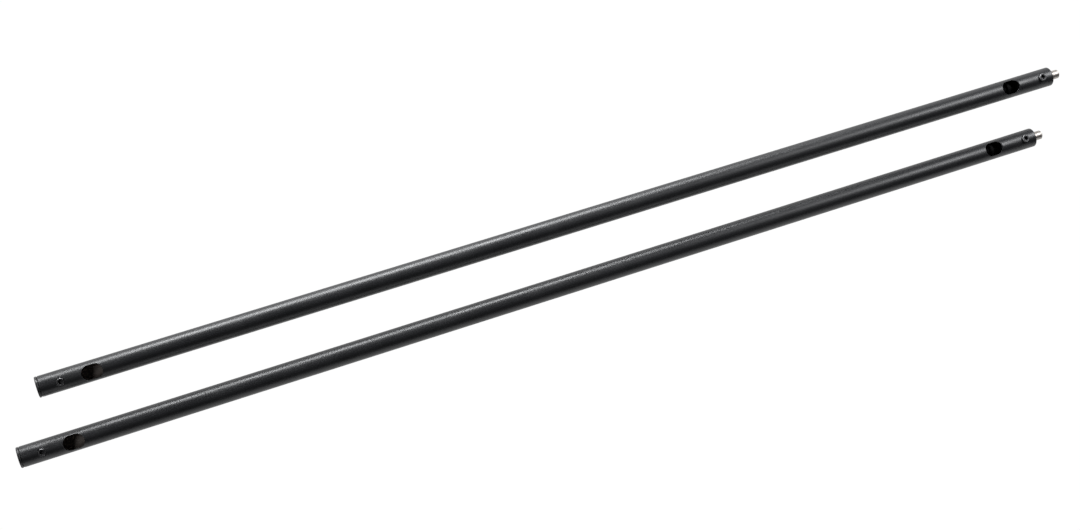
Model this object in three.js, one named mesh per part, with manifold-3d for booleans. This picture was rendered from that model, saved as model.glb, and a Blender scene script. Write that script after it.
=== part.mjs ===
// Pair of round truck-bed cargo bars, in millimetres with +Z up.
// Each bar lies along X on the floor: the plain plugged end points to -X, the end with
// the sprung locating pin points to +X. The slot and the screw at the plain end face +Z,
// and the whole pin end is turned a little from them, towards +Y.
// The origin is on the floor, under the middle of the pair.
import * as THREE from 'three';
import { mergeVertices } from 'three/addons/utils/BufferGeometryUtils.js';
import Module from 'manifold-3d';

const wasm = await Module();
wasm.setup();

// The pair
const BAR_LENGTH = 1380;
const BAR_SPACING = 73.6;
const BAR_STAGGER = 44;

// Tube, its slots and its screw holes
const TUBE_D = 25.4;
const TUBE_WALL = 1.5;
const TUBE_CHAMFER = 1;
const SLOT_LENGTH = 25.2;
const SLOT_WIDTH = 17.6;
const SLOT_FROM_END = 65;
const SCREW_D = 9.4;
const PLUG_SCREW_FROM_END = 27.5;
const GUIDE_SCREW_FROM_END = 17;

// How far the slot, the screw and the pin's pieces at the pin end are turned from +Z
// towards +Y, about the bar's axis
const PIN_END_TURN = Math.PI / 12;

// Flanged plug at the plain end
const FLANGE_T = 3;
const PLUG_LENGTH = 45;
const EDGE_CHAMFER = 0.7;

// Locating pin, its guide and its spring
const PIN_D = 12;
const PIN_OUT = 14.5;
const PIN_TIP_CHAMFER = 1.5;
const ROD_D = 6;
const GUIDE_LENGTH = 51.5;
const GUIDE_BORE_LENGTH = 22.5;
const CHAMBER_D = 16.4;
const COLLAR_T = 2.5;
const CAP_T = 3;
const WIRE_D = 1.2;
const SPRING_D = 11.5;
const SPRING_TURNS = 6;

// Finger-pull collar on the inner end of the pin
const PULL_FROM_END = 63.5;
const PULL_D = 16;
const PULL_T = 4;
const HUB_D = 10;
const HUB_LENGTH = 7;
const ROLL_PIN_D = 2.6;

// Socket set screws
const SOCKET_AF = 5;
const SOCKET_DEPTH = 3.2;
const SCREW_CHAMFER = 0.6;
const PLUG_SCREW_TOP = 12;
const PLUG_SCREW_BOTTOM = 2.2;
const GUIDE_SCREW_TOP = 15.7;
const GUIDE_SCREW_BOTTOM = 6.8;

// Clearance kept between pieces that touch
const GAP = 0.3;

const TUBE_R = TUBE_D / 2;
const BORE_R = TUBE_R - TUBE_WALL;
const INSERT_R = BORE_R - GAP;
const CUT_TOP = TUBE_D;

// Coarse facet counts: the big rounds, the small rounds and the spring wire
const BIG_SIDES = 48;
const SMALL_SIDES = 24;
const WIRE_SIDES = 6;
const STEPS_PER_TURN = 12;

const blackCoat = { color: 0x1b1c1e, roughness: 0.42, metalness: 0.2 };
const blackOxide = { color: 0x141416, roughness: 0.5, metalness: 0.7 };
const brightSteel = { color: 0xb9b3ac, roughness: 0.28, metalness: 1 };
const springSteel = { color: 0x77767a, roughness: 0.35, metalness: 1 };

// A turned piece about the X axis. Its outline is a list of [x, radius] points, and
// every radius is met by the middle of the facets, so flats face +Y, -Y, +Z and -Z.
function turned(outline, sides) {
  const toCorner = 1 / Math.cos(Math.PI / sides);
  const points = outline.map(([x, radius]) => new THREE.Vector2(radius * toCorner, x));
  const geometry = new THREE.LatheGeometry(points, sides, Math.PI / sides);
  return geometry.rotateZ(-Math.PI / 2);
}

// The same piece turned about the Z axis, with [z, radius] points.
function turnedUpright(outline, sides) {
  return turned(outline, sides).rotateY(-Math.PI / 2);
}

// A solid rod between two stations of the outline's axis.
function rodOutline(from, to, radius) {
  return [[from, 0], [from, radius], [to, radius], [to, 0]];
}

// A ring with an inner and an outer radius: a closed outline.
function ringOutline(from, to, inner, outer) {
  return [[from, inner], [from, outer], [to, outer], [to, inner], [from, inner]];
}

function toSolid(geometry) {
  const bare = geometry.clone();
  bare.deleteAttribute('normal');
  bare.deleteAttribute('uv');
  const merged = mergeVertices(bare);
  return new wasm.Manifold(new wasm.Mesh({
    numProp: 3,
    vertProperties: new Float32Array(merged.attributes.position.array),
    triVerts: new Uint32Array(merged.index.array),
  }));
}

function toGeometry(solid) {
  const mesh = solid.getMesh();
  const geometry = new THREE.BufferGeometry();
  geometry.setAttribute('position', new THREE.BufferAttribute(mesh.vertProperties, 3));
  geometry.setIndex(new THREE.BufferAttribute(mesh.triVerts, 1));
  return geometry;
}

function cut(body, ...cutters) {
  const rest = cutters.reduce((solid, cutter) => solid.subtract(toSolid(cutter)), toSolid(body));
  return toGeometry(rest);
}

function place(geometry, x, y = 0, z = 0) {
  return geometry.translate(x, y, z);
}

// The hole that a set screw passes through, from the given height upward.
function screwHole(x, bottom, turn = 0) {
  const cutter = turnedUpright(rodOutline(bottom, CUT_TOP, SCREW_D / 2 + GAP), SMALL_SIDES);
  return place(cutter.rotateX(-turn), x);
}

// A slot with round ends, cut through the upper wall only.
function slotCutter(x, turn = 0) {
  const radius = SLOT_WIDTH / 2;
  const reach = SLOT_LENGTH / 2 - radius;
  const outline = new THREE.Shape();
  outline.absarc(reach, 0, radius, -Math.PI / 2, Math.PI / 2);
  outline.absarc(-reach, 0, radius, Math.PI / 2, Math.PI * 1.5);
  const geometry = new THREE.ExtrudeGeometry(outline, {
    depth: CUT_TOP,
    bevelEnabled: false,
    curveSegments: 12,
  });
  return place(geometry.rotateX(-turn), x);
}

// x runs from the plug's outer face to the tube's pin end.
function tubeGeometry() {
  const start = FLANGE_T + GAP;
  const end = BAR_LENGTH;
  const shell = turned([
    [start, BORE_R],
    [start, TUBE_R],
    [end - TUBE_CHAMFER, TUBE_R],
    [end, TUBE_R - TUBE_CHAMFER],
    [end, BORE_R],
    [start, BORE_R],
  ], BIG_SIDES);
  return cut(
    shell,
    slotCutter(SLOT_FROM_END),
    slotCutter(BAR_LENGTH - SLOT_FROM_END, PIN_END_TURN),
    screwHole(PLUG_SCREW_FROM_END, 0),
    screwHole(BAR_LENGTH - GUIDE_SCREW_FROM_END, 0, PIN_END_TURN),
  );
}

// A flange as wide as the tube, and a spigot that fills its bore.
function plugGeometry() {
  const body = turned([
    [0, 0],
    [0, TUBE_R - EDGE_CHAMFER],
    [EDGE_CHAMFER, TUBE_R],
    [FLANGE_T, TUBE_R],
    [FLANGE_T, INSERT_R],
    [PLUG_LENGTH - EDGE_CHAMFER, INSERT_R],
    [PLUG_LENGTH, INSERT_R - EDGE_CHAMFER],
    [PLUG_LENGTH, 0],
  ], BIG_SIDES);
  return cut(body, screwHole(PLUG_SCREW_FROM_END, PLUG_SCREW_BOTTOM - GAP));
}

// An upright set screw with a hexagon socket, its axis on x = 0.
function setScrewGeometry(bottom, top) {
  const body = turnedUpright([
    [bottom, 0],
    [bottom, SCREW_D / 2 - SCREW_CHAMFER],
    [bottom + SCREW_CHAMFER, SCREW_D / 2],
    [top - SCREW_CHAMFER, SCREW_D / 2],
    [top, SCREW_D / 2 - SCREW_CHAMFER],
    [top, 0],
  ], SMALL_SIDES);
  return cut(body, turnedUpright(rodOutline(top - SOCKET_DEPTH, CUT_TOP, SOCKET_AF / 2), 6));
}

// The pieces of the pin end have x = 0 at the tube's end, and reach inward along -X.
function guideGeometry() {
  const boreR = PIN_D / 2 + GAP;
  const body = turned([
    [0, boreR],
    [-GUIDE_BORE_LENGTH, boreR],
    [-GUIDE_BORE_LENGTH, CHAMBER_D / 2],
    [-GUIDE_LENGTH, CHAMBER_D / 2],
    [-GUIDE_LENGTH, INSERT_R],
    [-EDGE_CHAMFER, INSERT_R],
    [0, INSERT_R - EDGE_CHAMFER],
    [0, boreR],
  ], BIG_SIDES);
  return cut(body, screwHole(-GUIDE_SCREW_FROM_END, 0));
}

function capGeometry() {
  return turned(
    ringOutline(-GUIDE_LENGTH, CAP_T - GUIDE_LENGTH, ROD_D / 2 + GAP, CHAMBER_D / 2 - GAP),
    SMALL_SIDES,
  );
}

// The collar stops the pin against the step inside the guide, and the spring pushes on it.
const COLLAR_FRONT = -GUIDE_BORE_LENGTH - GAP;
const COLLAR_BACK = COLLAR_FRONT - COLLAR_T;
const HUB_BACK = -PULL_FROM_END - PULL_T - HUB_LENGTH;
const ROLL_PIN_X = HUB_BACK + HUB_LENGTH / 2;

function rollPinHole() {
  const half = PULL_D / 2;
  return place(
    turnedUpright(rodOutline(-half, half, ROLL_PIN_D / 2 + GAP), SMALL_SIDES),
    ROLL_PIN_X,
  );
}

function pinGeometry() {
  const body = turned([
    [HUB_BACK, 0],
    [HUB_BACK, ROD_D / 2],
    [COLLAR_BACK, ROD_D / 2],
    [COLLAR_BACK, CHAMBER_D / 2 - GAP],
    [COLLAR_FRONT, CHAMBER_D / 2 - GAP],
    [COLLAR_FRONT, PIN_D / 2],
    [PIN_OUT - PIN_TIP_CHAMFER, PIN_D / 2],
    [PIN_OUT, PIN_D / 2 - PIN_TIP_CHAMFER],
    [PIN_OUT, 0],
  ], SMALL_SIDES);
  return cut(body, rollPinHole());
}

function pullCollarGeometry() {
  const boreR = ROD_D / 2 + GAP;
  const body = turned([
    [HUB_BACK, boreR],
    [HUB_BACK, HUB_D / 2],
    [HUB_BACK + HUB_LENGTH, HUB_D / 2],
    [HUB_BACK + HUB_LENGTH, PULL_D / 2],
    [-PULL_FROM_END, PULL_D / 2],
    [-PULL_FROM_END, boreR],
    [HUB_BACK, boreR],
  ], SMALL_SIDES);
  return cut(body, rollPinHole());
}

function rollPinGeometry() {
  const half = HUB_D / 2;
  return place(turnedUpright(rodOutline(-half, half, ROLL_PIN_D / 2), SMALL_SIDES), ROLL_PIN_X);
}

class SpringCurve extends THREE.Curve {
  constructor(from, to) {
    super();
    this.from = from;
    this.to = to;
  }

  getPoint(t, target = new THREE.Vector3()) {
    const angle = 2 * Math.PI * SPRING_TURNS * t;
    const radius = SPRING_D / 2;
    const x = THREE.MathUtils.lerp(this.from, this.to, t);
    return target.set(x, radius * Math.cos(angle), radius * Math.sin(angle));
  }
}

function springGeometry() {
  const margin = GAP + WIRE_D / 2;
  const curve = new SpringCurve(CAP_T - GUIDE_LENGTH + margin, COLLAR_BACK - margin);
  const section = new THREE.Shape();
  section.absarc(0, 0, WIRE_D / 2, 0, 2 * Math.PI);
  return new THREE.ExtrudeGeometry(section, {
    steps: SPRING_TURNS * STEPS_PER_TURN,
    curveSegments: WIRE_SIDES / 2,
    bevelEnabled: false,
    extrudePath: curve,
  });
}

function piece(name, geometry, material, x = 0) {
  const mesh = new THREE.Mesh(geometry, new THREE.MeshStandardMaterial(material));
  mesh.name = name;
  mesh.position.x = x;
  return mesh;
}

// The screws stand at their own x, and the pieces of the pin end hang from the tube's end.
function pinEnd(side) {
  const group = new THREE.Group();
  group.add(piece(`pin_guide_${side}`, guideGeometry(), blackCoat));
  group.add(piece(
    `guide_screw_${side}`,
    setScrewGeometry(GUIDE_SCREW_BOTTOM, GUIDE_SCREW_TOP),
    blackOxide,
    -GUIDE_SCREW_FROM_END,
  ));
  group.add(piece(`locating_pin_${side}`, pinGeometry(), brightSteel));
  group.add(piece(`pin_spring_${side}`, springGeometry(), springSteel));
  group.add(piece(`spring_cap_${side}`, capGeometry(), blackOxide));
  group.add(piece(`pull_collar_${side}`, pullCollarGeometry(), blackOxide));
  group.add(piece(`roll_pin_${side}`, rollPinGeometry(), blackOxide));
  group.position.x = BAR_LENGTH;
  group.rotation.x = -PIN_END_TURN;
  return group;
}

function cargoBar(side) {
  const group = new THREE.Group();
  group.add(piece(`bar_tube_${side}`, tubeGeometry(), blackCoat));
  group.add(piece(`end_plug_${side}`, plugGeometry(), blackCoat));
  group.add(piece(
    `plug_screw_${side}`,
    setScrewGeometry(PLUG_SCREW_BOTTOM, PLUG_SCREW_TOP),
    blackOxide,
    PLUG_SCREW_FROM_END,
  ));
  group.add(pinEnd(side));
  return group;
}

// The first bar lies on the +Y side, and the second is set back along -X beside it.
const overallLength = BAR_LENGTH + PIN_OUT + BAR_STAGGER;
const first = cargoBar('a');
first.position.set(BAR_STAGGER - overallLength / 2, BAR_SPACING / 2, TUBE_R);
const second = cargoBar('b');
second.position.set(-overallLength / 2, -BAR_SPACING / 2, TUBE_R);

const pair = new THREE.Group();
pair.add(first, second);

export default pair;
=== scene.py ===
"""Looks for a pair of round truck-bed cargo bars: turned and drilled meshes, coatings, light.

Each bar is built in its own coordinates: x runs from the plug's outer face to the pin end,
and y and z are measured from the bar's axis. The slot and screw at the plain end face +Z,
and those at the pin end are turned towards +Y. All lengths are in metres.
"""
import math

import bmesh
import bpy
from mathutils import Matrix, Vector


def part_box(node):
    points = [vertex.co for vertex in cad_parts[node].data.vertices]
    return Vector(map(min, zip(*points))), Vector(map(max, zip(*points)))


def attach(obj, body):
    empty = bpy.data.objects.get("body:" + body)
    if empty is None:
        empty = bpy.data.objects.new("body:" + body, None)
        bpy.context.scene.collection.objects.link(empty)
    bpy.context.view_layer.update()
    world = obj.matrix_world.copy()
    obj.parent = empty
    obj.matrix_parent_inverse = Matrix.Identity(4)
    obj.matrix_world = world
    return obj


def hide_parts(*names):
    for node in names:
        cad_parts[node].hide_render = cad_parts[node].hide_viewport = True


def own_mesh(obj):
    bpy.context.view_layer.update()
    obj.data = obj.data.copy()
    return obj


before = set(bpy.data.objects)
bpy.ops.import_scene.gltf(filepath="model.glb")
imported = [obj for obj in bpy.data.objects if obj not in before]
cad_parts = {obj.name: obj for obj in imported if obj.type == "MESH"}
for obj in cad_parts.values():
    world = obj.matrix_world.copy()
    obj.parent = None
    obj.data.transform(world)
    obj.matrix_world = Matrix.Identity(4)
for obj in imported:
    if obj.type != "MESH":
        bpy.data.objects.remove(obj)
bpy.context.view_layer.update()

MM = 0.001
SIDES = ("a", "b")

# Sizes shared with the CAD part
TUBE_WALL = 1.5 * MM
SLOT_HALF = 12.6 * MM
SLOT_RADIUS = 8.8 * MM
SLOT_FROM_END = 65 * MM
SCREW_RADIUS = 4.7 * MM
PLUG_SCREW_X = 27.5 * MM
GUIDE_SCREW_FROM_END = 17 * MM
FLANGE_T = 3 * MM
GUIDE_BORE_LENGTH = 22.5 * MM
GUIDE_SCREW = (6.8 * MM, 15.65 * MM)
PIN_RADIUS = 6 * MM
ROD_RADIUS = 3 * MM
COLLAR_T = 2.5 * MM
PULL_T = 4 * MM
HUB_RADIUS = 5 * MM
GAP = 0.3 * MM
WIRE_RADIUS = 0.6 * MM
SOCKET_APOTHEM = 2.5 * MM
SOCKET_DEPTH = 3.2 * MM
PIN_NOSE = 1.5 * MM

# Edges that the CAD solids leave sharp, or cut with a single chamfer
SLOT_EDGE = 0.45 * MM
SCREW_HOLE_EDGE = 0.25 * MM
SEAM_EDGE = 0.9 * MM
END_EDGE = 1.1 * MM
SCREW_RIM = 0.55 * MM
THREAD_PITCH = 1.5 * MM
THREAD_CUT = 0.28 * MM

# Painted shade: the bore's colour turns near black from this far along the bar towards the pin end,
# and fades in over this length
PAINTED_SHADE_START = 1.24
PAINTED_SHADE_FADE = 0.04
PAINTED_SHADE_BLACK = (0.055, 0.055, 0.055, 1)

# Mesh density
ROUND = 96
SMALL_ROUND = 72
HOLE_COLUMNS = 16
HOLE_ROWS = 40
HOLE_RINGS = 5
HOLE_MARGIN = 3 * MM
ROOM_SHARE = 0.8
RING_CROWDING = 1.5
HOLE_ANGLE = math.pi * HOLE_ROWS / ROUND
ANGLE_SLACK = 1e-6
MERGE_DISTANCE = 1e-7

# The pin end's turn from +Z towards +Y: a whole number of facets, so that rings still meet
PIN_END_TURN = 4 * 2 * math.pi / ROUND
SHARP_ANGLE = math.radians(32)

# Light
COOL_WHITE = (0.97, 0.98, 1)
STRIP_WHITE = (0.97, 0.985, 1)
SKY = (0.95, 0.97, 1, 1)
HORIZON_STRENGTH, OVERHEAD_STRENGTH, HORIZON_HEIGHT = 0.28, 0.02, 0.15
FLOOR_GLOW = 1.02
FLOOR_REACH = 20


# ---------------------------------------------------------------- meshes

def new_object(name, bm, materials):
    """Turns the bmesh into a shaded object. Faces carry the index of their material."""
    bmesh.ops.remove_doubles(bm, verts=bm.verts, dist=MERGE_DISTANCE)
    bmesh.ops.recalc_face_normals(bm, faces=bm.faces)
    mesh = bpy.data.meshes.new(name)
    bm.to_mesh(mesh)
    bm.free()
    for material in materials:
        mesh.materials.append(material)
    mesh.polygons.foreach_set("use_smooth", [True] * len(mesh.polygons))
    mesh.set_sharp_from_angle(angle=SHARP_ANGLE)
    obj = bpy.data.objects.new(name, mesh)
    bpy.context.scene.collection.objects.link(obj)
    weighted = obj.modifiers.new("even_shading", "WEIGHTED_NORMAL")
    weighted.keep_sharp = True
    return obj


def skin(bm, rows, wrap=True, material=0):
    """Quads between neighbouring rows of points, which all hold the same number of points."""
    made = [[bm.verts.new(point) for point in row] for row in rows]
    count = len(rows[0])
    for near, far in zip(made, made[1:]):
        for i in range(count if wrap else count - 1):
            j = (i + 1) % count
            face = bm.faces.new((near[i], near[j], far[j], far[i]))
            face.material_index = material


def cap(bm, ring):
    """One flat face over a ring of points."""
    bm.faces.new([bm.verts.new(point) for point in ring])


def circle_x(x, radius, count=SMALL_ROUND):
    """A ring of points round the X axis, from +Z towards +Y."""
    angles = [2 * math.pi * i / count for i in range(count)]
    return [Vector((x, radius * math.sin(a), radius * math.cos(a))) for a in angles]


def revolve(bm, outline, count=ROUND):
    """The surface that an outline of (x, radius) points makes when it turns about X."""
    skin(bm, [circle_x(x, radius, count) for x, radius in outline])


def cap_x(bm, x, radius, count=ROUND):
    """A flat disc across the X axis."""
    cap(bm, circle_x(x, radius, count))


def rounded(face_x, round_x, low_radius, high_radius, steps=4):
    """A quarter-round edge: outline points from the flat face at face_x to the round surface."""
    turns = [math.pi / 2 * i / steps for i in range(steps + 1)]
    depth, height = face_x - round_x, high_radius - low_radius
    return [(round_x + depth * math.cos(t), low_radius + height * math.sin(t)) for t in turns]


def full_ring(quarter):
    """Mirrors a quarter outline, from the +X tip to the +Y side, into a whole ring."""
    there, back = quarter[:-1], quarter[:0:-1]
    return (
        [(u, v) for u, v in there]
        + [(-u, v) for u, v in back]
        + [(-u, -v) for u, v in there]
        + [(u, -v) for u, v in back]
    )


def hole_outline(half, radius, grow=0.0):
    """A slot with round ends, or a circle where half equals radius, in evenly spaced points."""
    count = (HOLE_ROWS + HOLE_COLUMNS) // 2
    straight = half - radius
    size = radius + grow
    arc = math.pi / 2 * size
    quarter = []
    for k in range(count + 1):
        run = (arc + straight) * k / count
        turn = min(run, arc) / size
        quarter.append((straight + size * math.cos(turn) - max(run - arc, 0), size * math.sin(turn)))
    return full_ring(quarter)


def patch_outline(half):
    """The border of a hole's patch, as (x from the hole's middle, angle from +Z)."""
    up = [(half, HOLE_ANGLE * k / (HOLE_ROWS // 2)) for k in range(HOLE_ROWS // 2)]
    steps = HOLE_COLUMNS // 2
    along = [(half * (1 - k / steps), HOLE_ANGLE) for k in range(steps + 1)]
    return full_ring(up + along)


def on_round(x, angle, radius):
    """A point on the round surface, by its angle from +Z towards +Y."""
    return Vector((x, radius * math.sin(angle), radius * math.cos(angle)))


def drilled_round(bm, start, end, radius, holes, material=0):
    """The round surface from start to end, with a patch around each hole in its upper side.

    holes are (middle x, half length, end radius, how much wider its edge opens here)."""
    angles = [2 * math.pi * i / ROUND for i in range(ROUND)]
    low, high = HOLE_ANGLE - ANGLE_SLACK, 2 * math.pi - HOLE_ANGLE + ANGLE_SLACK
    below = [t for t in angles if low <= t <= high]
    x = start
    for middle, half, size, grow in sorted(holes):
        room = min(middle - half - x, end - middle - half)
        reach = half + min(HOLE_MARGIN, room * ROOM_SHARE)
        left, right = middle - reach, middle + reach
        skin(bm, [circle_x(x, radius, ROUND), circle_x(left, radius, ROUND)], material=material)
        columns = [left + (right - left) * k / HOLE_COLUMNS for k in range(HOLE_COLUMNS + 1)]
        rows = [[on_round(column, t, radius) for t in below] for column in columns]
        skin(bm, rows, wrap=False, material=material)
        inner = [(u, math.asin(v / radius)) for u, v in hole_outline(half, size, grow)]
        rings = []
        for k in range(HOLE_RINGS + 1):
            t = (k / HOLE_RINGS) ** RING_CROWDING
            rings.append([
                on_round(middle + u0 + (u1 - u0) * t, t0 + (t1 - t0) * t, radius)
                for (u0, t0), (u1, t1) in zip(inner, patch_outline(reach))
            ])
        skin(bm, rings, material=material)
        x = right
    skin(bm, [circle_x(x, radius, ROUND), circle_x(end, radius, ROUND)], material=material)


def hole_ring(middle, half, size, radius, grow=0.0, depth=0.0, floor=None):
    """A hole's outline on the round surface, lowered by depth, or laid flat at height floor."""
    return [
        Vector((middle + u, v, math.sqrt(radius ** 2 - v ** 2) - depth if floor is None else floor))
        for u, v in hole_outline(half, size, grow)
    ]


def hole_edge(middle, half, size, radius, bevel, steps=4):
    """The rings of a softly broken edge, from the round surface down into the hole."""
    turns = [math.pi / 2 * i / steps for i in range(steps + 1)]
    return [
        hole_ring(middle, half, size, radius,
                  grow=bevel * (1 - math.sin(t)), depth=bevel * (1 - math.cos(t)))
        for t in turns
    ]


def circle_z(x, z, radius, count=SMALL_ROUND):
    """A ring of points round an upright axis through (x, 0)."""
    angles = [2 * math.pi * i / count for i in range(count)]
    return [Vector((x + radius * math.cos(t), radius * math.sin(t), z)) for t in angles]


def hexagon_z(x, z, apothem, count=SMALL_ROUND):
    """A hexagon given by as many points as a circle, so that the two can be joined."""
    sector = math.pi / 3
    points = []
    for i in range(count):
        t = 2 * math.pi * i / count
        radius = apothem / math.cos((t + sector / 2) % sector - sector / 2)
        points.append(Vector((x + radius * math.cos(t), radius * math.sin(t), z)))
    return points


def drill_across(obj, x, radius):
    """Cuts an upright hole right through a finished piece."""
    bm = bmesh.new()
    reach = 20 * MM
    rings = [circle_z(x, -reach, radius), circle_z(x, reach, radius)]
    skin(bm, rings)
    cap(bm, rings[0])
    cap(bm, rings[1])
    drill = new_object("drill", bm, [])
    cutter = obj.modifiers.new("cross_hole", "BOOLEAN")
    cutter.object = drill
    cutter.solver = "EXACT"
    obj.modifiers.move(obj.modifiers.find("cross_hole"), 0)
    with bpy.context.temp_override(object=obj, active_object=obj):
        bpy.ops.object.modifier_apply(modifier="cross_hole")
    bpy.data.objects.remove(drill)
    bm = bmesh.new()
    bm.from_mesh(obj.data)
    bmesh.ops.dissolve_degenerate(bm, dist=0.01 * MM, edges=bm.edges)
    bm.to_mesh(obj.data)
    bm.free()
    obj.data.set_sharp_from_angle(angle=SHARP_ANGLE)


# ---------------------------------------------------------------- materials

def shader(name, color, roughness, metallic, **sockets):
    """A material, its node tree and its shader, with the constant values on the shader."""
    material = bpy.data.materials.new(name)
    material.use_nodes = True
    tree = material.node_tree
    bsdf = tree.nodes["Principled BSDF"]
    bsdf.inputs["Base Color"].default_value = (*color, 1)
    bsdf.inputs["Roughness"].default_value = roughness
    bsdf.inputs["Metallic"].default_value = metallic
    for socket, value in sockets.items():
        bsdf.inputs[socket.replace("_", " ")].default_value = value
    return material, tree, bsdf


def noise(tree, scale, detail=2.0, stretch=(1, 1, 1)):
    """Noise over the piece's own coordinates, scale in blobs per metre."""
    place = tree.nodes.new("ShaderNodeTexCoord")
    mapping = tree.nodes.new("ShaderNodeMapping")
    mapping.inputs["Scale"].default_value = stretch
    texture = tree.nodes.new("ShaderNodeTexNoise")
    texture.inputs["Scale"].default_value = scale
    texture.inputs["Detail"].default_value = detail
    tree.links.new(place.outputs["Object"], mapping.inputs["Vector"])
    tree.links.new(mapping.outputs["Vector"], texture.inputs["Vector"])
    return texture.outputs["Fac"]


def spread(tree, value, low, high, low_in=0.3, high_in=0.7):
    """Maps a value between low_in and high_in onto low to high, and holds it there beyond."""
    node = tree.nodes.new("ShaderNodeMapRange")
    node.inputs["From Min"].default_value = low_in
    node.inputs["From Max"].default_value = high_in
    node.inputs["To Min"].default_value = low
    node.inputs["To Max"].default_value = high
    tree.links.new(value, node.inputs["Value"])
    return node.outputs["Result"]


def blend_colors(tree, bsdf, factor, first, second):
    """Gives the shader a base colour between two colours."""
    node = tree.nodes.new("ShaderNodeMix")
    node.data_type = "RGBA"
    node.inputs["A"].default_value = (*first, 1)
    node.inputs["B"].default_value = (*second, 1)
    tree.links.new(factor, node.inputs["Factor"])
    tree.links.new(node.outputs["Result"], bsdf.inputs["Base Color"])


def bump(tree, bsdf, height, distance, before=None):
    """Relief, distance metres deep, on top of an earlier bump if there is one."""
    node = tree.nodes.new("ShaderNodeBump")
    node.inputs["Distance"].default_value = distance
    node.inputs["Strength"].default_value = 1
    tree.links.new(height, node.inputs["Height"])
    if before is not None:
        tree.links.new(before, node.inputs["Normal"])
    tree.links.new(node.outputs["Normal"], bsdf.inputs["Normal"])
    return node.outputs["Normal"]


def powder_coat(name, color, roughness):
    """Satin black powder coat: fine orange peel, and a gloss that drifts a little."""
    material, tree, bsdf = shader(name, color, roughness, 0.0, Specular_IOR_Level=0.5)
    drift = noise(tree, 35, 3)
    tree.links.new(spread(tree, drift, roughness - 0.03, roughness + 0.04),
                   bsdf.inputs["Roughness"])
    lighter = tuple(c * 1.25 for c in color)
    blend_colors(tree, bsdf, spread(tree, noise(tree, 1800, 2), 0, 1), color, lighter)
    peel = bump(tree, bsdf, noise(tree, 700, 1), 0.0000012)
    bump(tree, bsdf, noise(tree, 4200, 1), 0.0000003, before=peel)
    return material


def raw_steel():
    """The uncoated bore: brownish mill scale and drawn grain, with painted shade that turns it near
    black at the pin end.
    """
    material, tree, bsdf = shader("raw_bore_steel", (0.22, 0.19, 0.17), 0.6, 0.2)
    blotch = spread(tree, noise(tree, 160, 4), 0, 1)
    blend_colors(tree, bsdf, blotch, (0.13, 0.112, 0.1), (0.25, 0.218, 0.195))
    place = tree.nodes.new("ShaderNodeTexCoord")
    split = tree.nodes.new("ShaderNodeSeparateXYZ")
    tree.links.new(place.outputs["Object"], split.inputs["Vector"])
    # painted shade: mixes the bore's colour towards near black at the pin end
    painted_shade = spread(tree, split.outputs["X"], 0, 1,
                    PAINTED_SHADE_START, PAINTED_SHADE_START + PAINTED_SHADE_FADE)
    unshaded_color = bsdf.inputs["Base Color"].links[0].from_socket
    node = tree.nodes.new("ShaderNodeMix")
    node.data_type = "RGBA"
    node.inputs["B"].default_value = PAINTED_SHADE_BLACK
    tree.links.new(unshaded_color, node.inputs["A"])
    tree.links.new(painted_shade, node.inputs["Factor"])
    tree.links.new(node.outputs["Result"], bsdf.inputs["Base Color"])
    tree.links.new(spread(tree, noise(tree, 420, 2), 0.5, 0.7), bsdf.inputs["Roughness"])
    bump(tree, bsdf, noise(tree, 1500, 2, (0.06, 1, 1)), 0.00002)
    return material


def black_oxide(name, roughness):
    """Blackened steel with a faint machining grain and a light oil film."""
    material, tree, bsdf = shader(name, (0.02, 0.02, 0.021), roughness, 0.3)
    mottle = spread(tree, noise(tree, 700, 3), 0, 1)
    blend_colors(tree, bsdf, mottle, (0.012, 0.012, 0.013), (0.03, 0.03, 0.032))
    tree.links.new(spread(tree, noise(tree, 1300, 2), roughness - 0.06, roughness + 0.08),
                   bsdf.inputs["Roughness"])
    bump(tree, bsdf, noise(tree, 2600, 2), 0.000008)
    return material


def blackened_painted_shade():
    """The blackened pieces inside the bore, darkened further to near black with almost no
    reflection, as painted shade for the inside of the pin-end slot.
    """
    material, tree, bsdf = shader("blackened_painted_shade", (0.0035, 0.0035, 0.0036), 0.78, 0.0,
                                  Specular_IOR_Level=0.02)
    blend_colors(tree, bsdf, spread(tree, noise(tree, 600, 3), 0, 1),
                 (0.002, 0.002, 0.0021), (0.005, 0.005, 0.0051))
    tree.links.new(spread(tree, noise(tree, 1300, 2), 0.6, 0.8), bsdf.inputs["Roughness"])
    return material


def worn_edge():
    """Steel that shows where the screws' oxide has rubbed off their rims."""
    material, tree, bsdf = shader("worn_screw_rim", (0.25, 0.25, 0.253), 0.58, 0.6)
    blend_colors(tree, bsdf, spread(tree, noise(tree, 900, 3), 0, 1),
                 (0.19, 0.19, 0.193), (0.31, 0.31, 0.313))
    tree.links.new(spread(tree, noise(tree, 1900, 2), 0.54, 0.64), bsdf.inputs["Roughness"])
    return material


def turned_steel():
    """Satin pin steel: fine rings left by the tool, and a slightly warm tone."""
    material, tree, bsdf = shader("turned_pin_steel", (0.39, 0.365, 0.34), 0.46, 1.0)
    rings = noise(tree, 5000, 1, (1, 0.004, 0.004))
    tree.links.new(spread(tree, rings, 0.4, 0.52), bsdf.inputs["Roughness"])
    blend_colors(tree, bsdf, spread(tree, noise(tree, 220, 3), 0, 1),
                 (0.355, 0.33, 0.305), (0.43, 0.405, 0.38))
    bump(tree, bsdf, rings, 0.000003)
    return material


def spring_steel():
    """Drawn wire, darker than the pin, with grain along its coils."""
    material, tree, bsdf = shader("drawn_spring_steel", (0.3, 0.3, 0.31), 0.3, 1.0)
    blend_colors(tree, bsdf, spread(tree, noise(tree, 500, 3), 0, 1),
                 (0.24, 0.24, 0.25), (0.38, 0.375, 0.37))
    tree.links.new(spread(tree, noise(tree, 1500, 2), 0.25, 0.42), bsdf.inputs["Roughness"])
    return material


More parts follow.
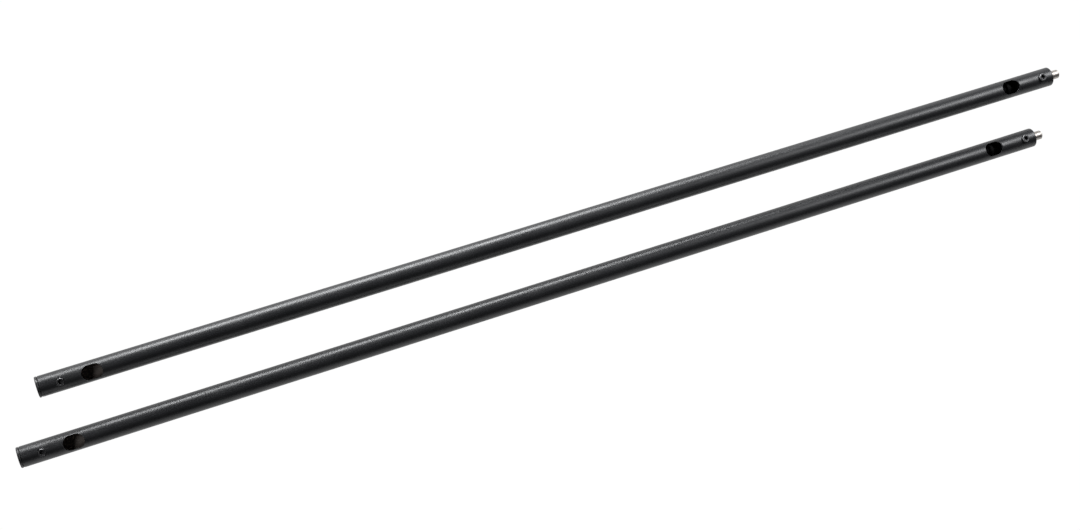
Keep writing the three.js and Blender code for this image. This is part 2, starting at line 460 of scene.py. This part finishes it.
COAT = powder_coat("satin_black_coat", (0.0095, 0.0098, 0.0108), 0.39)
PLUG_COAT = powder_coat("plug_black_coat", (0.012, 0.0123, 0.0133), 0.37)
BORE = raw_steel()
SCREW_BLACK = black_oxide("screw_black_oxide", 0.5)
# painted shade: near-black, almost unreflecting material for the pieces seen through the pin-end
# slot
INNER_BLACK_PAINTED_SHADE = blackened_painted_shade()
WORN_EDGE = worn_edge()
PIN_STEEL = turned_steel()
SPRING_STEEL = spring_steel()


# ---------------------------------------------------------------- pieces of one bar

def tube(name, size):
    """The tube: slots and screw holes through its upper wall, with softly broken edges."""
    start, end = size["tube_start"], size["length"]
    outer = size["radius"]
    inner = outer - TUBE_WALL
    screw_hole = SCREW_RADIUS + GAP
    holes = [
        (PLUG_SCREW_X, screw_hole, screw_hole, SCREW_HOLE_EDGE),
        (SLOT_FROM_END, SLOT_HALF, SLOT_RADIUS, SLOT_EDGE),
        (end - SLOT_FROM_END, SLOT_HALF, SLOT_RADIUS, SLOT_EDGE),
        (end - GUIDE_SCREW_FROM_END, screw_hole, screw_hole, SCREW_HOLE_EDGE),
    ]
    bm = bmesh.new()
    middle = (start + end) / 2
    halves = (
        (holes[2:], (middle, end - END_EDGE), (middle, end), -PIN_END_TURN),
        (holes[:2], (start + SEAM_EDGE, middle), (start, middle), 0),
    )
    for drilled, outside, inside, turn in halves:
        drilled_round(bm, *outside, outer, drilled)
        bore_holes = [(x, half, radius, 0) for x, half, radius, _ in drilled]
        drilled_round(bm, *inside, inner, bore_holes, material=1)
        for x, half, radius, bevel in drilled:
            rings = hole_edge(x, half, radius, outer, bevel)
            skin(bm, rings + [hole_ring(x, half, radius, inner)])
        if turn:
            bmesh.ops.rotate(bm, verts=bm.verts, matrix=Matrix.Rotation(turn, 3, "X"))
    revolve(bm, [(start, inner)] + rounded(start, start + SEAM_EDGE, outer - SEAM_EDGE, outer))
    revolve(bm, [(end, inner)] + rounded(end, end - END_EDGE, outer - END_EDGE, outer))
    return new_object(name, bm, [COAT, BORE])


def plug(name, size):
    """The plug: a flange as wide as the tube, and a spigot with a blind hole for its screw."""
    outer, spigot, length = size["radius"], size["insert_radius"], size["plug_length"]
    hole = SCREW_RADIUS + GAP
    bm = bmesh.new()
    edge = 0.6 * MM
    cap_x(bm, 0, outer - edge)
    revolve(bm, rounded(0, edge, outer - edge, outer))
    back = rounded(FLANGE_T, FLANGE_T - SEAM_EDGE, outer - SEAM_EDGE, outer)
    revolve(bm, [(edge, outer)] + back[::-1] + [(FLANGE_T, spigot)])
    drilled_round(bm, FLANGE_T, length - edge, spigot, [(PLUG_SCREW_X, hole, hole, 0)])
    revolve(bm, [(length - edge, spigot), (length, spigot - edge)])
    cap_x(bm, length, spigot - edge)
    wall = [
        hole_ring(PLUG_SCREW_X, hole, hole, spigot),
        hole_ring(PLUG_SCREW_X, hole, hole, spigot, floor=size["plug_screw"][0] - GAP),
    ]
    skin(bm, wall)
    cap(bm, wall[1])
    return new_object(name, bm, [PLUG_COAT])


def set_screw(name, x, bottom, top):
    """A set screw with a fine cut thread, a chamfered rim and a hexagon socket."""
    bm = bmesh.new()
    rim, socket, floor = SCREW_RIM, SOCKET_APOTHEM, top - SOCKET_DEPTH
    lead_in, drill_point = 0.25 * MM, 0.35 * MM
    profile = [(bottom, SCREW_RADIUS - rim)]
    turns = max(1, int((top - bottom - 2 * rim) / THREAD_PITCH))
    first = bottom + rim
    step = (top - rim - first) / turns
    for turn in range(turns):
        crest = first + turn * step
        profile += [
            (crest, SCREW_RADIUS), (crest + step * 0.12, SCREW_RADIUS),
            (crest + step * 0.5, SCREW_RADIUS - THREAD_CUT), (crest + step * 0.88, SCREW_RADIUS),
        ]
    profile += [(top - rim, SCREW_RADIUS), (top, SCREW_RADIUS - rim), (top, socket * 1.2)]
    rings = [circle_z(x, z, radius) for z, radius in profile]
    rings += [
        hexagon_z(x, top - lead_in, socket),
        hexagon_z(x, floor, socket),
        circle_z(x, floor, socket * 0.8),
        circle_z(x, floor - drill_point, socket * 0.15),
    ]
    rim_start = len(profile) - 3
    skin(bm, rings[:rim_start + 1])
    skin(bm, rings[rim_start:rim_start + 2], material=1)
    skin(bm, rings[rim_start + 1:])
    cap(bm, rings[0])
    cap(bm, rings[-1])
    return new_object(name, bm, [SCREW_BLACK, WORN_EDGE])


def guide(name, size):
    """The bush that the pin slides in, with the spring chamber behind it. x = 0 at its face."""
    outer, length, chamber = size["insert_radius"], size["guide_length"], size["chamber_radius"]
    bore, edge, hole = PIN_RADIUS + GAP, 0.5 * MM, SCREW_RADIUS + GAP
    bm = bmesh.new()
    drilled_round(bm, -length, -edge, outer, [(-GUIDE_SCREW_FROM_END, hole, hole, 0)])
    drilled_round(bm, -GUIDE_BORE_LENGTH, -edge, bore, [(-GUIDE_SCREW_FROM_END, hole, hole, 0)])
    skin(bm, [
        hole_ring(-GUIDE_SCREW_FROM_END, hole, hole, outer),
        hole_ring(-GUIDE_SCREW_FROM_END, hole, hole, bore),
    ])
    revolve(bm, [(-edge, outer), (0, outer - edge), (0, bore + edge), (-edge, bore)])
    revolve(bm, [
        (-GUIDE_BORE_LENGTH, bore), (-GUIDE_BORE_LENGTH, chamber),
        (-length, chamber), (-length, outer),
    ])
    return new_object(name, bm, [PLUG_COAT])


def pin(name, size):
    """The bright pin, and its collar and pull rod in the near-black painted-shade material. x = 0 at
    the end face.
    """
    out, back, collar = size["pin_out"], size["rod_back"], size["chamber_radius"] - GAP
    nose, soft = PIN_NOSE, 0.25 * MM
    front = -GUIDE_BORE_LENGTH - GAP
    outline = [
        (back, ROD_RADIUS - 0.5 * MM), (back + 0.5 * MM, ROD_RADIUS),
        (front - COLLAR_T, ROD_RADIUS), (front - COLLAR_T, collar - soft),
        (front - COLLAR_T + soft, collar), (front - soft, collar),
        (front, collar - soft), (front, PIN_RADIUS),
        (out - nose - soft, PIN_RADIUS), (out - nose + soft * 0.7, PIN_RADIUS - soft * 0.35),
        (out - soft, PIN_RADIUS - nose + soft), (out - soft * 0.3, PIN_RADIUS - nose),
        (out, PIN_RADIUS - nose - soft),
    ]
    bm = bmesh.new()
    revolve(bm, outline, SMALL_ROUND)
    cap_x(bm, back, outline[0][1], SMALL_ROUND)
    cap_x(bm, out, outline[-1][1], SMALL_ROUND)
    obj = new_object(name, bm, [PIN_STEEL, INNER_BLACK_PAINTED_SHADE])
    # painted shade: the collar and rod behind the guide take the near-black material
    for face in obj.data.polygons:
        face.material_index = int(face.center.x < front - GAP)
    drill_across(obj, size["roll_pin_x"], size["roll_pin_radius"] + GAP)
    return obj


def pull_collar(name, size):
    """The finger collar and its hub, with broken edges and a cross hole for the roll pin."""
    back, front, outer = size["rod_back"], size["pull_front"], size["pull_radius"]
    bore, soft = ROD_RADIUS + GAP, 0.4 * MM
    step = front - PULL_T
    bm = bmesh.new()
    revolve(bm, [
        (back, bore), (back, HUB_RADIUS - soft), (back + soft, HUB_RADIUS),
        (step, HUB_RADIUS), (step, outer - soft), (step + soft, outer),
        (front - soft, outer), (front, outer - soft), (front, bore), (back, bore),
    ], SMALL_ROUND)
    # painted shade: the collar takes the near-black material
    obj = new_object(name, bm, [INNER_BLACK_PAINTED_SHADE])
    drill_across(obj, size["roll_pin_x"], size["roll_pin_radius"] + GAP)
    return obj


def spring(name, size):
    """A wire compression spring with closed ends, from the cap to the pin's collar.

    turns are in all, closed of them lying flat at each end; per_turn and section are points."""
    start, end = size["spring"]
    radius = size["spring_radius"] - WIRE_RADIUS
    turns, per_turn, section, closed = 6.5, 40, 14, 0.75
    first, last = start + WIRE_RADIUS, end - WIRE_RADIUS
    lead = 2 * WIRE_RADIUS * closed
    steps = int(turns * per_turn)
    rings = []
    for i in range(steps + 1):
        turn = turns * i / steps
        inner = min(max((turn - closed) / (turns - 2 * closed), 0), 1)
        ends = min(turn, closed) + max(turn - turns + closed, 0)
        x = first + lead * ends / closed + (last - first - 2 * lead) * inner
        angle = 2 * math.pi * turn
        out = Vector((0, math.sin(angle), math.cos(angle)))
        centre = Vector((x, 0, 0)) + out * radius
        ring = []
        for k in range(section):
            t = 2 * math.pi * k / section
            ring.append(centre + out * (WIRE_RADIUS * math.cos(t))
                        + Vector((WIRE_RADIUS * math.sin(t), 0, 0)))
        rings.append(ring)
    bm = bmesh.new()
    skin(bm, rings)
    cap(bm, rings[0])
    cap(bm, rings[-1])
    return new_object(name, bm, [SPRING_STEEL])


def measure(side):
    """The sizes of one bar, read from the frame's own boxes, in the bar's coordinates."""
    low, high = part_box(f"bar_tube_{side}")
    plug_low, plug_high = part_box(f"end_plug_{side}")
    guide_low, guide_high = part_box(f"pin_guide_{side}")
    pin_low, pin_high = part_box(f"locating_pin_{side}")
    pull_low, pull_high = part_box(f"pull_collar_{side}")
    roll_low, roll_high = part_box(f"roll_pin_{side}")
    spring_low, spring_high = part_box(f"pin_spring_{side}")
    screw_low, screw_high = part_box(f"plug_screw_{side}")
    origin = Vector((plug_low.x, (low.y + high.y) / 2, (low.z + high.z) / 2))
    end = high.x
    return {
        "origin": origin,
        "pin_end": Vector((end, origin.y, origin.z)),
        "radius": (high.z - low.z) / 2,
        "length": end - origin.x,
        "tube_start": low.x - origin.x,
        "plug_length": plug_high.x - plug_low.x,
        "insert_radius": (guide_high.z - guide_low.z) / 2,
        "guide_length": guide_high.x - guide_low.x,
        "plug_screw": (screw_low.z - origin.z, screw_high.z - origin.z),
        "chamber_radius": (pin_high.z - pin_low.z) / 2 + GAP,
        "pin_out": pin_high.x - end,
        "rod_back": pin_low.x - end,
        "pull_front": pull_high.x - end,
        "pull_radius": (pull_high.z - pull_low.z) / 2,
        "roll_pin_x": (roll_low.x + roll_high.x) / 2 - end,
        "roll_pin_radius": (roll_high.x - roll_low.x) / 2,
        "spring": (spring_low.x - end, spring_high.x - end),
        "spring_radius": (spring_high.z - spring_low.z) / 2,
    }


def fit(obj, place, body, node, turn=0):
    """Sets a finished piece in its place, on its body, for the CAD node that it stands for."""
    obj.data.transform(Matrix.Rotation(turn, 4, "X"))
    obj.location = place
    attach(obj, body)
    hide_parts(node)


def build_bar(side):
    """Every piece of one bar, on its bodies, and the carried-over nodes' finish."""
    size = measure(side)
    plain, pin_end = size["origin"], size["pin_end"]
    bar, moving = f"bar_{side}", f"pin_{side}"
    fit(tube(f"coated_tube_{side}", size), plain, bar, f"bar_tube_{side}")
    fit(plug(f"flanged_plug_{side}", size), plain, bar, f"end_plug_{side}")
    fit(set_screw(f"plug_set_screw_{side}", PLUG_SCREW_X, *size["plug_screw"]),
        plain, bar, f"plug_screw_{side}")
    turn = -PIN_END_TURN
    fit(guide(f"guide_bush_{side}", size), pin_end, bar,
        f"pin_guide_{side}", turn)
    fit(set_screw(f"guide_set_screw_{side}", -GUIDE_SCREW_FROM_END, *GUIDE_SCREW),
        pin_end, bar, f"guide_screw_{side}", turn)
    fit(pin(f"bright_pin_{side}", size), pin_end, moving,
        f"locating_pin_{side}", turn)
    fit(pull_collar(f"finger_collar_{side}", size), pin_end, moving,
        f"pull_collar_{side}", turn)
    coil = spring(f"wire_spring_{side}", size)
    fit(coil, pin_end, bar, f"pin_spring_{side}")
    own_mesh(coil)
    # painted shade: the spring cap and roll pin take the near-black material
    for node in ("spring_cap", "roll_pin"):
        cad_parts[f"{node}_{side}"].data.materials[0] = INNER_BLACK_PAINTED_SHADE


# ---------------------------------------------------------------- camera, floor and light

def add_camera():
    """Nearly overhead, a little past the plain ends, and turned so that the bars run uphill."""
    data = bpy.data.cameras.new("camera")
    data.sensor_width = 36
    data.lens = 55.11
    camera = bpy.data.objects.new("camera", data)
    azimuth, elevation, roll = math.radians(-127.03), math.radians(73.22), math.radians(110.89)
    target = Vector((-0.0519, -0.0026, 0.0127))
    distance = 2.086
    back = Vector((
        math.sin(azimuth) * math.cos(elevation),
        -math.cos(azimuth) * math.cos(elevation),
        math.sin(elevation),
    ))
    level = (-back).cross(Vector((0, 0, 1))).normalized()
    upright = level.cross(-back)
    right = level * math.cos(roll) + upright * math.sin(roll)
    up = upright * math.cos(roll) - level * math.sin(roll)
    turn = Matrix((right, up, back)).transposed().to_4x4()
    camera.matrix_world = Matrix.Translation(target + back * distance) @ turn
    bpy.context.scene.collection.objects.link(camera)
    bpy.context.scene.camera = camera


def add_floor():
    """A plain white sheet, lit through from below, so that no shadow falls on it."""
    material, _, _ = shader("white_sweep", (0, 0, 0), 1.0, 0.0, Specular_IOR_Level=0,
                            Emission_Color=(1, 1, 1, 1), Emission_Strength=FLOOR_GLOW)
    bm = bmesh.new()
    corners = ((-1, -1), (1, -1), (1, 1), (-1, 1))
    cap(bm, [Vector((x * FLOOR_REACH, y * FLOOR_REACH, 0)) for x, y in corners])
    new_object("floor", bm, [material])


def add_softbox(name, place, aim, size, power, color=COOL_WHITE):
    """A rectangular light of so many metres and watts, at place and turned towards aim."""
    data = bpy.data.lights.new(name, "AREA")
    data.shape = "RECTANGLE"
    data.size, data.size_y = size
    data.energy = power
    data.color = color
    light = bpy.data.objects.new(name, data)
    light.location = place
    direction = Vector(aim) - Vector(place)
    light.rotation_mode = "QUATERNION"
    light.rotation_quaternion = direction.to_track_quat("-Z", "Y")
    bpy.context.scene.collection.objects.link(light)


def add_world():
    """Pale at the horizon and dark overhead, so that the coating keeps its depth."""
    world = bpy.data.worlds.new("studio")
    world.use_nodes = True
    tree = world.node_tree
    place = tree.nodes.new("ShaderNodeTexCoord")
    split = tree.nodes.new("ShaderNodeSeparateXYZ")
    tree.links.new(place.outputs["Generated"], split.inputs["Vector"])
    strength = spread(tree, split.outputs["Z"],
                      HORIZON_STRENGTH, OVERHEAD_STRENGTH, 0, HORIZON_HEIGHT)
    tree.links.new(strength, tree.nodes["Background"].inputs["Strength"])
    tree.nodes["Background"].inputs["Color"].default_value = SKY
    bpy.context.scene.world = world


add_camera()
add_floor()
add_world()
bpy.context.scene.view_settings.view_transform = "Standard"
add_softbox("side_strip", (-0.12, 1.3, 0.2), (-0.12, 0, 0.01), (1.35, 0.4), 42, STRIP_WHITE)
add_softbox("left_box", (-1.55, 0.45, 1.4), (-0.65, 0, 0), (0.3, 0.35), 5.6)
add_softbox("right_box", (1.8, 1, 1.25), (0.65, 0, 0), (0.7, 1), 37)
add_softbox("fill_panel", (0.2, -1.8, 0.5), (0.1, 0, 0), (3.8, 1), 11)

for bar_side in SIDES:
    build_bar(bar_side)
